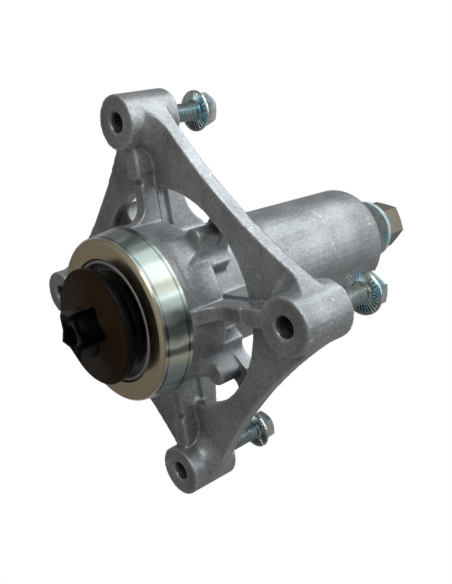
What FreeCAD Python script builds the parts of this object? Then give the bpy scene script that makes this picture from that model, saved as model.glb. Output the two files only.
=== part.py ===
"""Mower deck spindle: cast housing, bearings, star shaft and fasteners.

Millimetres. +Z runs along the shaft from the blade end to the pulley end, the origin lies on the
shaft's axis in the plane of the four boss faces that meet the deck, and the bosses stand on the
diagonals of X and Y.
"""
import FreeCAD, Part
import math
import os
import Sketcher

# Driving dimensions

SIZES = {
    # deck bosses
    "bolt_circle_radius": 76.2,
    "boss_radius": 11.0,
    "boss_length": 24.0,
    "boss_draft": 0.6,
    "bolt_hole_radius": 4.0,
    "bolt_hole_chamfer": 0.7,
    # web between the arms
    "web_front": -12.0,
    "web_thickness": 6.0,
    "web_edge_radius": 240.0,
    "window_radius": 48.5,
    "window_corner": 3.0,
    "neck_width": 3.6,
    "boss_blend_rise": 6.0,
    "boss_blend_reach": 6.5,
    "boss_blend_arc": 8.0,
    # spokes, set back behind the web's front, and the round ended lugs on the hub before them
    "spoke_width": 10.0,
    "spoke_front": -7.0,
    "spoke_thickness": 6.0,
    "spoke_flare": 5.5,
    "spoke_overlap": 4.0,
    "lug_root_front": -27.5,
    "lug_front": -17.8,
    "lug_sweep": 12.0,
    "lug_flat_radius": 37.6,
    "lug_root_half": 9.7,
    "lug_root_offset": 32.6,
    "lug_flare": 7.5,
    "lug_round": 4.1,
    "lug_offset": 39.9,
    # ribs on the arms, in front of the web
    "rib_width": 6.2,
    "rib_front": -19.0,
    "rib_back": -11.8,
    "rib_sweep": 8.0,
    "rib_root_front": -30.0,
    "rib_root_step": 0.9,
    "rib_groove_radius": 51.2,
    "rib_groove_half": 0.9,
    "rib_groove_depth": 1.6,
    "rib_toe_radius": 3.0,
    "lobe_radius": 3.8,
    "lobe_offset": 56.1,
    "lobe_front": -20.0,
    "lobe_end_offset": 66.0,
    "lobe_end_half": 3.3,
    # fins on the arms, behind the web
    "fin_width": 6.0,
    "fin_front": -6.8,
    "fin_set_back": 1.0,
    "fin_knee_reach": 13.5,
    "fin_knee_height": 2.2,
    "fin_sweep": 16.0,
    "fin_end_rise": 2.5,
    "fin_end_height": 14.0,
    "fin_root_fillet": 2.0,
    # hub and barrel
    "hub_front": -42.9,
    "hub_radius": 34.5,
    "hub_shoulder": -31.0,
    "lip_radius": 25.2,
    "lip_height": 1.1,
    "lip_wall": 1.4,
    "barrel_root_radius": 28.0,
    "barrel_taper": 1.5,
    "barrel_end": 105.0,
    "barrel_end_round": 4.0,
    "core_radius": 18.0,
    "cup_slack": 0.3,
    "nose_chamfer": 1.2,
    # bearings, 17 x 40 x 12 mm
    "bearing_bore": 17.0,
    "bearing_outside": 40.0,
    "bearing_width": 12.0,
    "ball_diameter": 6.75,
    "race_wall": 3.7,
    "groove_clearance": 0.04,
    "seal_thickness": 0.8,
    "seal_recess": 0.2,
    "cage_wall": 1.6,
    "cage_width": 8.4,
    "lower_bearing_front": -40.5,
    "upper_bearing_recess": 0.8,
    "fit_clearance": 0.02,
    "running_clearance": 0.1,
    # dust cup
    "cup_sheet": 1.2,
    "cup_opening_radius": 26.0,
    "cup_front_inset": 0.1,
    "cup_rim_flare": 1.5,
    "cup_depth": 13.3,
    "cup_corner": 2.2,
    # shaft
    "flange_radius": 23.9,
    "flange_front": -52.8,
    "flange_thickness": 3.4,
    "flange_bevel": 0.6,
    "shoulder_radius": 12.0,
    "star_point_radius": 11.0,
    "star_notch_radius": 7.4,
    "star_height": 9.5,
    "star_turn": 21.5,
    "star_bevel": 1.2,
    "blade_hole_radius": 4.25,
    "blade_hole_depth": 26.0,
    "shaft_end": 144.5,
    "thread_radius": 7.14,
    "thread_length": 20.0,
    "shaft_chamfer": 1.0,
    # spacer, washers and nut
    "spacer_wall": 2.6,
    "washer_radius": 15.5,
    "washer_thickness": 2.5,
    "lock_washer_radius": 12.9,
    "lock_washer_thickness": 3.6,
    "lock_washer_split": 2.0,
    "lock_washer_slant": 1.0,
    "nut_flats": 22.2,
    "nut_height": 12.6,
    "nut_chamfer": 1.0,
    # deck bolts, 5/16 inch
    "bolt_radius": 3.9,
    "bolt_length": 31.75,
    "bolt_point": 1.2,
    "bolt_flange_radius": 8.7,
    "bolt_flange_rim": 1.2,
    "bolt_flange_rise": 1.2,
    "bolt_flats": 12.7,
    "bolt_head_height": 7.6,
    "bolt_chamfer": 0.7,
    "bolt_1_stand": 18.0,
    "bolt_2_stand": 17.0,
    "bolt_3_stand": 19.0,
    "bolt_4_stand": 23.0,
}

BALL_COUNT = 8
STAR_POINTS = 5
BOSS_ANGLES = (45.0, 135.0, 225.0, 315.0)
MIDDLE_ANGLES = (0.0, 90.0, 180.0, 270.0)
EVERY_WAY = 360.0
OVERSHOOT = 1.0
NEAR = 0.01

Vector = FreeCAD.Vector
document = FreeCAD.newDocument("MowerDeckSpindle")
document.addObject("Spreadsheet::Sheet", "sizes")
nodes = []


class Size:
    """A length with the spreadsheet formula that it comes from, so that sums keep both."""

    def __init__(self, number, formula=None):
        self.number = float(number)
        self.formula = formula if formula else repr(float(number))

    def _join(self, other, sign, number):
        return Size(number, "(" + self.formula + " " + sign + " " + size(other).formula + ")")

    def __add__(self, other):
        return self._join(other, "+", self.number + size(other).number)

    def __sub__(self, other):
        return self._join(other, "-", self.number - size(other).number)

    def __mul__(self, other):
        return self._join(other, "*", self.number * size(other).number)

    def __truediv__(self, other):
        return self._join(other, "/", self.number / size(other).number)

    def __neg__(self):
        return Size(-self.number, "(-1 * " + self.formula + ")")


class Arc:
    """A round stretch between two corners of an outline, its centre to the left or the right."""

    def __init__(self, radius, side):
        self.radius = size(radius)
        self.side = 1.0 if side == "left" else -1.0


class Sheet:
    """The driving dimensions, each read by its name."""

    def __getattr__(self, name):
        return Size(SIZES[name], "sizes." + name)


def size(value):
    return value if isinstance(value, Size) else Size(value)


def root(value):
    return Size(math.sqrt(value.number), "sqrt(" + value.formula + ")")


def cosine(degrees):
    return math.cos(math.radians(degrees))


def sine(degrees):
    return math.sin(math.radians(degrees))


def fill_sheet():
    sheet = document.getObject("sizes")
    for row, (name, value) in enumerate(SIZES.items(), start=1):
        sheet.set("A" + str(row), name)
        sheet.set("B" + str(row), repr(value))
        sheet.setAlias("B" + str(row), name)
    document.recompute()


def bind(item, field, value):
    item.setExpression(field, size(value).formula)


def place(item, x=0.0, y=0.0, z=0.0):
    bind(item, "Placement.Base.x", x)
    bind(item, "Placement.Base.y", y)
    bind(item, "Placement.Base.z", z)


# Sketches and features

def new_body(label):
    body = document.addObject("PartDesign::Body", label)
    body.Label = label
    nodes.append(body)
    return body


def new_sketch(body, role, height=0.0, turn=0.0):
    """A sketch on one of the body's planes, lifted along its normal or turned about Z."""
    axis = Vector(0, 0, 1) if role == "XY_Plane" else Vector(0, 1, 0)
    sketch = body.newObject("Sketcher::SketchObject", "sketch")
    plane = next(item for item in body.Origin.OriginFeatures if item.Role == role)
    sketch.AttachmentSupport = [(plane, "")]
    sketch.MapMode = "FlatFace"
    sketch.AttachmentOffset = FreeCAD.Placement(Vector(), FreeCAD.Rotation(axis, turn))
    bind(sketch, "AttachmentOffset.Base.z", height)
    return sketch


def pin_point(sketch, edge, end, corner):
    for way, value in zip(("DistanceX", "DistanceY"), corner):
        value = size(value)
        index = sketch.addConstraint(Sketcher.Constraint(way, -1, 1, edge, end, value.number))
        bind(sketch, "Constraints[" + str(index) + "]", value)


def draw_arc(start, end, arc):
    """The shorter arc from start to end, which Part draws counter-clockwise."""
    chord = end - start
    left = Vector(-chord.y, chord.x, 0).normalize()
    rise = math.sqrt(arc.radius.number ** 2 - (chord.Length / 2) ** 2)
    centre = start + chord * 0.5 + left * (rise * arc.side)
    first, last = (start, end) if arc.side > 0 else (end, start)
    angles = [math.atan2(point.y - centre.y, point.x - centre.x) for point in (first, last)]
    circle = Part.Circle(centre, Vector(0, 0, 1), arc.radius.number)
    return Part.ArcOfCircle(circle, angles[0], angles[1])


def draw_outline(sketch, steps):
    """Close an outline through its corners, with an Arc between two of them where it is round."""
    corners = [step for step in steps if not isinstance(step, Arc)]
    arcs = {}
    for step in steps:
        if isinstance(step, Arc):
            arcs[seen] = step
        else:
            seen = corners.index(step)
    points = [Vector(size(x).number, size(y).number, 0) for x, y in corners]
    first_edge = sketch.GeometryCount
    heads = []
    tails = []
    for index, point in enumerate(points):
        following = points[(index + 1) % len(points)]
        arc = arcs.get(index)
        backwards = arc is not None and arc.side < 0
        edge = draw_arc(point, following, arc) if arc else Part.LineSegment(point, following)
        number = sketch.addGeometry(edge, False)
        heads.append((number, 2 if backwards else 1))
        tails.append((number, 1 if backwards else 2))
    for index, corner in enumerate(corners):
        sketch.addConstraint(Sketcher.Constraint("Coincident", *tails[index - 1], *heads[index]))
        pin_point(sketch, *heads[index], corner)
    for index, arc in arcs.items():
        bound = sketch.addConstraint(
            Sketcher.Constraint("Radius", first_edge + index, arc.radius.number))
        bind(sketch, "Constraints[" + str(bound) + "]", arc.radius)


def draw_circle(sketch, x, y, radius):
    centre = Vector(size(x).number, size(y).number, 0)
    edge = sketch.addGeometry(Part.Circle(centre, Vector(0, 0, 1), radius.number), False)
    pin_point(sketch, edge, 3, (x, y))
    index = sketch.addConstraint(Sketcher.Constraint("Radius", edge, radius.number))
    bind(sketch, "Constraints[" + str(index) + "]", radius)


def add_feature(body, kind, sketch, **fields):
    feature = body.newObject("PartDesign::" + kind, kind.lower())
    feature.Profile = sketch
    for name, value in fields.items():
        if isinstance(value, Size):
            bind(feature, name, value)
        else:
            setattr(feature, name, value)
    return feature


def revolve(body, steps, kind="Revolution", turn=0.0):
    """Turn an outline of (radius, z) corners about the Z axis."""
    sketch = new_sketch(body, "XZ_Plane", turn=turn)
    draw_outline(sketch, steps)
    return add_feature(body, kind, sketch, ReferenceAxis=(sketch, ["V_Axis"]), Angle=EVERY_WAY)


def turned(label, steps):
    body = new_body(label)
    revolve(body, steps)
    return body


def pattern(body, feature, count):
    """Copies of a feature, evenly spaced about Z."""
    copies = body.newObject("PartDesign::PolarPattern", "pattern")
    copies.Originals = [feature]
    axis = next(item for item in body.Origin.OriginFeatures if item.Role == "Z_Axis")
    copies.Axis = (axis, [""])
    copies.Angle = EVERY_WAY
    copies.Occurrences = count
    body.Tip = copies
    return copies


def round_edges(body, name, radius, wanted, kind="Fillet"):
    """Fillet or chamfer the edges of the body's last feature that wanted(edge) picks."""
    document.recompute()
    base = body.Tip
    picked = ["Edge" + str(number) for number, edge in enumerate(base.Shape.Edges, start=1)
              if wanted(edge)]
    feature = body.newObject("PartDesign::" + kind, name)
    feature.Base = (base, picked)
    bind(feature, "Radius" if kind == "Fillet" else "Size", radius)
    return feature


def is_upright(edge):
    first, last = edge.Vertexes[0].Point, edge.Vertexes[-1].Point
    return math.hypot(last.x - first.x, last.y - first.y) < 0.001 < abs(last.z - first.z)


def polygon(count, radius_of, start=0.0):
    """Corners on a circle, counter-clockwise; radius_of gives each one's radius."""
    corners = []
    for index in range(count):
        angle = start + EVERY_WAY * index / count
        corners.append((radius_of(index) * cosine(angle), radius_of(index) * sine(angle)))
    return corners


# Places that several pieces share

S = Sheet()
boss_offset = S.bolt_circle_radius * cosine(45)
web_back = S.web_front + S.web_thickness
shaft_radius = S.bearing_bore / 2
race_outside = S.bearing_outside / 2
inner_race_shoulder = shaft_radius + S.race_wall
outer_race_shoulder = race_outside - S.race_wall
ball_circle_radius = (shaft_radius + race_outside) / 2
ball_radius = S.ball_diameter / 2
lower_bearing_back = S.lower_bearing_front + S.bearing_width
upper_bearing_back = S.barrel_end - S.upper_bearing_recess
upper_bearing_front = upper_bearing_back - S.bearing_width
bearing_seat_radius = race_outside + S.fit_clearance
flange_back = S.flange_front + S.flange_thickness
star_front = S.flange_front - S.star_height
thread_start = S.shaft_end - S.thread_length
thread_hole_radius = S.thread_radius + S.running_clearance
washer_back = thread_start + S.washer_thickness
lock_washer_back = washer_back + S.lock_washer_thickness
cup_front = S.hub_front - S.cup_sheet
cup_rim = cup_front + S.cup_depth
rib_hub_front = S.rib_front - S.rib_sweep
boss_inner_side = S.bolt_circle_radius - S.boss_radius
barrel_end_radius = S.barrel_root_radius - S.barrel_taper
fin_end_radius = S.barrel_root_radius + S.fin_end_rise
fin_knee_radius = fin_end_radius + S.fin_knee_reach
wall_middle = (S.core_radius + barrel_end_radius) / 2
web_middle = S.web_front + S.web_thickness / 2
cup_front_radius = S.hub_radius - S.cup_front_inset
cup_rim_radius = S.hub_radius + S.cup_rim_flare
nose_radius = cup_front_radius - S.cup_sheet - S.cup_slack
spoke_back = S.spoke_front + S.spoke_thickness


# Cast housing

def web_outline(body, height):
    """Square web with four hollow sides that run into the round corners of the bosses."""
    sketch = new_sketch(body, "XY_Plane", height=height)
    reach = S.web_edge_radius + S.boss_radius
    middle = boss_offset + root(reach * reach - boss_offset * boss_offset)
    along = boss_offset * (S.web_edge_radius / reach)
    across = middle - (middle - boss_offset) * (S.web_edge_radius / reach)
    steps = []
    for angle in MIDDLE_ANGLES:
        for way in (-1, 1):
            steps.append((across * cosine(angle) - along * way * sine(angle),
                          across * sine(angle) + along * way * cosine(angle)))
            steps.append(Arc(S.web_edge_radius, "right") if way < 0 else Arc(S.boss_radius, "left"))
    draw_outline(sketch, steps)
    return sketch


def window_outline(body):
    """The ring sector between the necks of two arms, open towards the hub."""
    sketch = new_sketch(body, "XY_Plane", height=web_back)
    inner = wall_middle
    half = S.neck_width / 2
    outer = root(S.window_radius * S.window_radius - half * half)
    slant = cosine(45)
    draw_outline(sketch, [
        ((inner + half) * slant, (half - inner) * slant),
        ((outer + half) * slant, (half - outer) * slant),
        Arc(S.window_radius, "left"),
        ((outer + half) * slant, (outer - half) * slant),
        ((inner + half) * slant, (inner - half) * slant),
    ])
    return sketch


def boss_blend(body):
    """Hollow shoulders that lead from the web up the bosses, trimmed to the web's outline."""
    shoulder = new_sketch(body, "XZ_Plane", height=-boss_offset)
    bind(shoulder, "AttachmentOffset.Base.x", boss_offset)
    foot = S.boss_radius + S.boss_blend_reach
    draw_outline(shoulder, [
        (0.0, web_middle),
        (0.0, S.web_front - S.boss_blend_rise),
        (S.boss_radius, S.web_front - S.boss_blend_rise),
        Arc(S.boss_blend_arc, "right"),
        (foot, S.web_front),
        (foot, web_middle),
    ])
    ring = add_feature(body, "Revolution", shoulder, ReferenceAxis=(shoulder, ["V_Axis"]),
                       Angle=EVERY_WAY)
    pattern(body, ring, 4)
    around = web_outline(body, web_back)
    draw_circle(around, 0.0, 0.0, S.bolt_circle_radius * 2)
    add_feature(body, "Pocket", around, Length=S.boss_length)


def boss_circles(sketch, radius):
    draw_circle(sketch, boss_offset, boss_offset, radius)


def housing():
    body = new_body("spindle_housing")
    add_feature(body, "Pad", web_outline(body, S.web_front), Length=S.web_thickness)

    window = add_feature(body, "Pocket", window_outline(body), Length=S.web_thickness)
    pattern(body, window, 4)
    round_edges(body, "window_corners", S.window_corner, is_window_corner)
    boss_blend(body)

    revolve(body, [
        (0.0, S.hub_front - S.lip_height),
        (S.lip_radius, S.hub_front - S.lip_height),
        (S.lip_radius, S.hub_front),
        (nose_radius - S.nose_chamfer, S.hub_front),
        (nose_radius, S.hub_front + S.nose_chamfer),
        (S.hub_radius, S.hub_shoulder),
        (S.hub_radius, S.web_front),
        (S.barrel_root_radius, S.web_front),
        (barrel_end_radius, S.barrel_end - S.barrel_end_round),
        Arc(S.barrel_end_round, "left"),
        (barrel_end_radius - S.barrel_end_round, S.barrel_end),
        (0.0, S.barrel_end),
    ])

    spoke(body)
    arm_fin(body)
    arm_rib(body)

    bosses = new_sketch(body, "XY_Plane", height=-S.boss_length)
    boss_circles(bosses, S.boss_radius)
    boss = add_feature(body, "Pad", bosses, Length=S.boss_length, TaperAngle=S.boss_draft)
    pattern(body, boss, 4)

    revolve(body, [
        (0.0, S.hub_front - S.lip_height - OVERSHOOT),
        (S.lip_radius - S.lip_wall, S.hub_front - S.lip_height - OVERSHOOT),
        (S.lip_radius - S.lip_wall, S.lower_bearing_front),
        (bearing_seat_radius, S.lower_bearing_front),
        (bearing_seat_radius, lower_bearing_back),
        (S.core_radius, lower_bearing_back),
        (S.core_radius, upper_bearing_front),
        (bearing_seat_radius, upper_bearing_front),
        (bearing_seat_radius, S.barrel_end + OVERSHOOT),
        (0.0, S.barrel_end + OVERSHOOT),
    ], kind="Groove")

    holes = new_sketch(body, "XY_Plane")
    boss_circles(holes, S.bolt_hole_radius)
    hole = add_feature(body, "Pocket", holes, Length=S.boss_length)
    pattern(body, hole, 4)
    round_edges(body, "hole_mouths", S.bolt_hole_chamfer, is_hole_mouth, kind="Chamfer")


def arm_fin(body):
    """Fins behind the arms that sweep up the barrel."""
    sketch = new_sketch(body, "XZ_Plane", turn=45.0)
    swept = S.fin_sweep - root(S.fin_sweep * S.fin_sweep - S.fin_knee_reach * S.fin_knee_reach)
    draw_outline(sketch, [
        (wall_middle, S.fin_front),
        (S.bolt_circle_radius, S.fin_front),
        (S.bolt_circle_radius, -S.fin_set_back),
        (boss_inner_side, -S.fin_set_back),
        (fin_knee_radius, S.fin_knee_height),
        Arc(S.fin_sweep, "right"),
        (fin_end_radius, S.fin_knee_height + swept),
        (wall_middle, S.fin_end_height),
    ])
    fin = add_feature(body, "Pad", sketch, Length=S.fin_width, Midplane=True)
    pattern(body, fin, 4)
    round_edges(body, "fin_roots", S.fin_root_fillet, is_fin_root)


def arm_rib(body):
    """Ribs in front of the arms, swept up to the hub, each with a groove and a round lobe."""
    sketch = new_sketch(body, "XZ_Plane", turn=45.0)
    toe = S.rib_front - S.rib_toe_radius
    draw_outline(sketch, [
        (wall_middle, S.rib_back),
        (wall_middle, S.rib_root_front),
        (S.hub_radius, S.rib_root_front),
        (S.hub_radius + S.rib_root_step, rib_hub_front),
        Arc(S.rib_sweep, "right"),
        (S.hub_radius + S.rib_root_step + S.rib_sweep, S.rib_front),
        (S.rib_groove_radius - S.rib_groove_half, S.rib_front),
        (S.rib_groove_radius, S.rib_front + S.rib_groove_depth),
        (S.rib_groove_radius + S.rib_groove_half, S.rib_front),
        (boss_inner_side - S.rib_toe_radius, S.rib_front),
        Arc(S.rib_toe_radius, "right"),
        (boss_inner_side, toe),
        (S.bolt_circle_radius, toe),
        (S.bolt_circle_radius, S.rib_back),
    ])
    rib = add_feature(body, "Pad", sketch, Length=S.rib_width, Midplane=True)
    pattern(body, rib, 4)
    lobes = new_sketch(body, "XY_Plane", height=S.lobe_front, turn=45.0)
    draw_outline(lobes, [
        (S.lobe_offset, -S.lobe_radius),
        (S.lobe_end_offset, -S.lobe_end_half),
        (S.lobe_end_offset, S.lobe_end_half),
        (S.lobe_offset, S.lobe_radius),
        Arc(S.lobe_radius, "left"),
        (S.lobe_offset - S.lobe_radius, 0.0),
        Arc(S.lobe_radius, "left"),
    ])
    lobe = add_feature(body, "Pad", lobes, Length=web_middle - S.lobe_front)
    pattern(body, lobe, 4)


def spoke(body):
    """Spokes between the arms, flared into the web, and the lugs that rise beside the hub."""
    half = S.spoke_width / 2
    wide = half + S.spoke_flare
    outer = S.window_radius + S.spoke_overlap
    flat = new_sketch(body, "XY_Plane", height=S.spoke_front)
    draw_outline(flat, [
        (wall_middle, -half),
        (S.window_radius - S.spoke_flare, -half),
        Arc(S.spoke_flare, "right"),
        (S.window_radius, -wide),
        (outer, -wide),
        (outer, wide),
        (S.window_radius, wide),
        Arc(S.spoke_flare, "right"),
        (S.window_radius - S.spoke_flare, half),
        (wall_middle, half),
    ])
    plate = add_feature(body, "Pad", flat, Length=S.spoke_thickness)
    pattern(body, plate, 4)
    lugs = new_sketch(body, "XY_Plane", height=S.lug_root_front)
    draw_outline(lugs, [
        (wall_middle, -S.lug_root_half),
        (S.lug_root_offset, -S.lug_root_half),
        Arc(S.lug_flare, "right"),
        (S.lug_offset, -S.lug_round),
        Arc(S.lug_round, "left"),
        (S.lug_offset + S.lug_round, 0.0),
        Arc(S.lug_round, "left"),
        (S.lug_offset, S.lug_round),
        Arc(S.lug_flare, "right"),
        (S.lug_root_offset, S.lug_root_half),
        (wall_middle, S.lug_root_half),
    ])
    lug = add_feature(body, "Pad", lugs, Length=spoke_back - S.lug_root_front)
    pattern(body, lug, 4)
    revolve(body, [
        (S.hub_radius, S.lug_root_front - OVERSHOOT),
        (S.hub_radius, S.lug_root_front),
        Arc(S.lug_sweep, "right"),
        (S.lug_flat_radius, S.lug_front),
        (S.window_radius, S.lug_front),
        (S.window_radius, S.lug_root_front - OVERSHOOT),
    ], kind="Groove")


def is_fin_root(edge):
    """The long edges in which the fins' sides meet the barrel."""
    first, last = edge.Vertexes[0].Point, edge.Vertexes[-1].Point
    near_barrel = all(barrel_end_radius.number < math.hypot(point.x, point.y)
                      < SIZES["barrel_root_radius"] + NEAR for point in (first, last))
    return near_barrel and abs(last.z - first.z) > SIZES["fin_sweep"]


def is_window_corner(edge):
    return is_upright(edge) and abs(math.hypot(edge.Vertexes[0].X, edge.Vertexes[0].Y)
                                    - SIZES["window_radius"]) < NEAR


def is_hole_mouth(edge):
    """The front rim of a bolt hole, on the blade side of its boss."""
    if not isinstance(edge.Curve, Part.Circle):
        return False
    return (abs(edge.Curve.Radius - SIZES["bolt_hole_radius"]) < NEAR
            and abs(edge.Curve.Center.z + SIZES["boss_length"]) < NEAR)


# Dust cup

def dust_cup():
    """Pressed sheet cup on the hub's nose, its mouth open round the shaft's flange."""
    sheet = S.cup_sheet
    inner_corner = S.cup_corner - sheet
    turned("dust_cup", [
        (S.cup_opening_radius, cup_front),
        (cup_front_radius - S.cup_corner, cup_front),
        Arc(S.cup_corner, "left"),
        (cup_front_radius, cup_front + S.cup_corner),
        (cup_rim_radius, cup_rim),
        (cup_rim_radius - sheet, cup_rim),
        (cup_front_radius - sheet, cup_front + S.cup_corner),
        Arc(inner_corner, "right"),
        (cup_front_radius - S.cup_corner, S.hub_front),
        (S.cup_opening_radius, S.hub_front),
    ])


# Bearings

def bearing(prefix, front):
    """Deep groove ball bearing: two races, caged balls and a seal on each side."""
    middle = front + S.bearing_width / 2
    half = S.bearing_width / 2
    groove = ball_radius + S.groove_clearance
    inner_depth = inner_race_shoulder - ball_circle_radius
    inner_half = root(groove * groove - inner_depth * inner_depth)
    inner_race = turned(prefix + "_inner_race", [
        (shaft_radius + S.fit_clearance, -half),
        (inner_race_shoulder, -half),
        (inner_race_shoulder, -inner_half),
        Arc(groove, "right"),
        (inner_race_shoulder, inner_half),
        (inner_race_shoulder, half),
        (shaft_radius + S.fit_clearance, half),
    ])
    outer_depth = outer_race_shoulder - ball_circle_radius
    outer_half = root(groove * groove - outer_depth * outer_depth)
    outer_race = turned(prefix + "_outer_race", [
        (race_outside, -half),
        (race_outside, half),
        (outer_race_shoulder, half),
        (outer_race_shoulder, outer_half),
        Arc(groove, "right"),
        (outer_race_shoulder, -outer_half),
        (outer_race_shoulder, -half),
    ])
    seals = []
    for name, near in (("_front_seal", -half + S.seal_recess),
                       ("_back_seal", half - S.seal_recess - S.seal_thickness)):
        seals.append(turned(prefix + name, [
            (inner_race_shoulder + S.running_clearance, near),
            (outer_race_shoulder, near),
            (outer_race_shoulder, near + S.seal_thickness),
            (inner_race_shoulder + S.running_clearance, near + S.seal_thickness),
        ]))
    balls = ball_ring(prefix + "_balls", ball_radius)
    nodes.append(balls)
    cage = bearing_cage(prefix + "_cage")
    for item in [inner_race, outer_race, balls, cage] + seals:
        place(item, z=middle)


def bearing_cage(label):
    """Ring with a round hole across it for every ball."""
    inside = ball_circle_radius - S.cage_wall / 2
    outside = ball_circle_radius + S.cage_wall / 2
    half = S.cage_width / 2
    body = turned(label, [(inside, -half), (outside, -half), (outside, half), (inside, half)])
    hole = new_sketch(body, "YZ_Plane")
    draw_circle(hole, 0.0, 0.0, ball_radius + S.running_clearance)
    pocket = add_feature(body, "Pocket", hole, Length=outside + OVERSHOOT, Reversed=True)
    pattern(body, pocket, BALL_COUNT)
    return body


def ball_ring(name, radius):
    """Spheres evenly spaced on the bearing's ball circle, as one group."""
    spheres = []
    for index in range(BALL_COUNT):
        angle = EVERY_WAY * index / BALL_COUNT
        sphere = document.addObject("Part::Sphere", name + "_" + str(index + 1))
        bind(sphere, "Radius", radius)
        place(sphere, ball_circle_radius * cosine(angle), ball_circle_radius * sine(angle))
        spheres.append(sphere)
    group = document.addObject("Part::Compound", name)
    group.Label = name
    group.Links = spheres
    return group


def bearing_spacer():
    inside = shaft_radius + S.running_clearance
    outside = shaft_radius + S.spacer_wall
    turned("bearing_spacer", [
        (inside, lower_bearing_back),
        (outside, lower_bearing_back),
        (outside, upper_bearing_front),
        (inside, upper_bearing_front),
    ])


# Shaft

def spindle_shaft():
    body = new_body("spindle_shaft")
    chamfer = S.shaft_chamfer
    revolve(body, [
        (0.0, S.flange_front),
        (S.flange_radius - S.flange_bevel, S.flange_front),
        (S.flange_radius, S.flange_front + S.flange_bevel),
        (S.flange_radius, flange_back),
        (S.shoulder_radius, flange_back),
        (S.shoulder_radius, S.lower_bearing_front),
        (shaft_radius, S.lower_bearing_front),
        (shaft_radius, thread_start),
        (S.thread_radius, thread_start),
        (S.thread_radius, S.shaft_end - chamfer),
        (S.thread_radius - chamfer, S.shaft_end),
        (0.0, S.shaft_end),
    ])
    star = new_sketch(body, "XY_Plane", height=star_front)
    radii = (S.star_point_radius, S.star_notch_radius)
    draw_outline(star, polygon(2 * STAR_POINTS, lambda index: radii[index % 2], SIZES["star_turn"]))
    add_feature(body, "Pad", star, Length=S.star_height)
    round_edges(body, "star_bevel", S.star_bevel, is_star_rim, kind="Chamfer")
    hole = new_sketch(body, "XY_Plane", height=star_front + S.blade_hole_depth)
    draw_circle(hole, 0.0, 0.0, S.blade_hole_radius)
    add_feature(body, "Pocket", hole, Length=S.blade_hole_depth)


def is_star_rim(edge):
    front = SIZES["flange_front"] - SIZES["star_height"]
    return all(abs(vertex.Z - front) < NEAR for vertex in edge.Vertexes)


# Washers and nut at the pulley end

def flat_washer():
    turned("flat_washer", [
        (thread_hole_radius, thread_start),
        (S.washer_radius, thread_start),
        (S.washer_radius, washer_back),
        (thread_hole_radius, washer_back),
    ])


def lock_washer():
    """Spring washer with a slanted split."""
    body = turned("lock_washer", [
        (thread_hole_radius, washer_back),
        (S.lock_washer_radius, washer_back),
        (S.lock_washer_radius, lock_washer_back),
        (thread_hole_radius, lock_washer_back),
    ])
    split = new_sketch(body, "XZ_Plane")
    near = S.lock_washer_split / 2
    draw_outline(split, [
        (-near - S.lock_washer_slant, washer_back),
        (near - S.lock_washer_slant, washer_back),
        (near + S.lock_washer_slant, lock_washer_back),
        (-near + S.lock_washer_slant, lock_washer_back),
    ])
    add_feature(body, "Pocket", split, Length=S.lock_washer_radius + OVERSHOOT)


def hexagon(body, flats, height, start):
    """Six sided prism that stands on the plane z = start."""
    sketch = new_sketch(body, "XY_Plane", height=start)
    draw_outline(sketch, polygon(6, lambda index: flats / (2 * cosine(30))))
    return add_feature(body, "Pad", sketch, Length=height)


def trim_hexagon(body, flats, end, drop):
    """Turn the corners of a hexagon's far end down to a cone."""
    corner = flats / (2 * cosine(30))
    revolve(body, [
        (flats / 2, end),
        (corner + OVERSHOOT, end),
        (corner + OVERSHOOT, end - drop),
    ], kind="Groove")


def shaft_nut():
    body = new_body("shaft_nut")
    end = lock_washer_back + S.nut_height
    hexagon(body, S.nut_flats, S.nut_height, lock_washer_back)
    trim_hexagon(body, S.nut_flats, end, S.nut_chamfer)
    hole = new_sketch(body, "XY_Plane", height=end)
    draw_circle(hole, 0.0, 0.0, thread_hole_radius)
    add_feature(body, "Pocket", hole, Length=S.nut_height)


# Deck bolts

def deck_bolt(number, angle, stand):
    """Hex flange bolt, drawn with the underside of its flange at z = 0."""
    body = new_body("deck_bolt_" + str(number))
    flange_top = S.bolt_flange_rim + S.bolt_flange_rise
    revolve(body, [
        (0.0, -S.bolt_length),
        (S.bolt_radius - S.bolt_point, -S.bolt_length),
        (S.bolt_radius, S.bolt_point - S.bolt_length),
        (S.bolt_radius, 0.0),
        (S.bolt_flange_radius, 0.0),
        (S.bolt_flange_radius, S.bolt_flange_rim),
        (S.bolt_flats / 2, flange_top),
        (0.0, flange_top),
    ])
    hexagon(body, S.bolt_flats, S.bolt_head_height - S.bolt_flange_rim, S.bolt_flange_rim)
    trim_hexagon(body, S.bolt_flats, S.bolt_head_height, S.bolt_chamfer)
    place(body, S.bolt_circle_radius * cosine(angle), S.bolt_circle_radius * sine(angle), stand)


def build():
    fill_sheet()
    housing()
    dust_cup()
    spindle_shaft()
    bearing_spacer()
    bearing("lower_bearing", S.lower_bearing_front)
    bearing("upper_bearing", upper_bearing_front)
    flat_washer()
    lock_washer()
    shaft_nut()
    stands = (S.bolt_1_stand, S.bolt_2_stand, S.bolt_3_stand, S.bolt_4_stand)
    for number, (angle, stand) in enumerate(zip(BOSS_ANGLES, stands), start=1):
        deck_bolt(number, angle, stand)
    document.recompute()


def check():
    for item in document.Objects:
        if "Invalid" in item.State or "Error" in item.State:
            raise RuntimeError(item.Name + " failed: " + str(item.State))
    for node in nodes:
        if node.Shape.isNull() or not node.Shape.isValid():
            raise RuntimeError(node.Label + " has no valid shape")


def write():
    os.makedirs("parts", exist_ok=True)
    for node in nodes:
        node.Shape.exportStep("parts/" + node.Label + ".step")


build()
check()
write()
for node in nodes:
    print(node.Label, len(node.Shape.Solids), round(node.Shape.Volume, 1))
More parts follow.
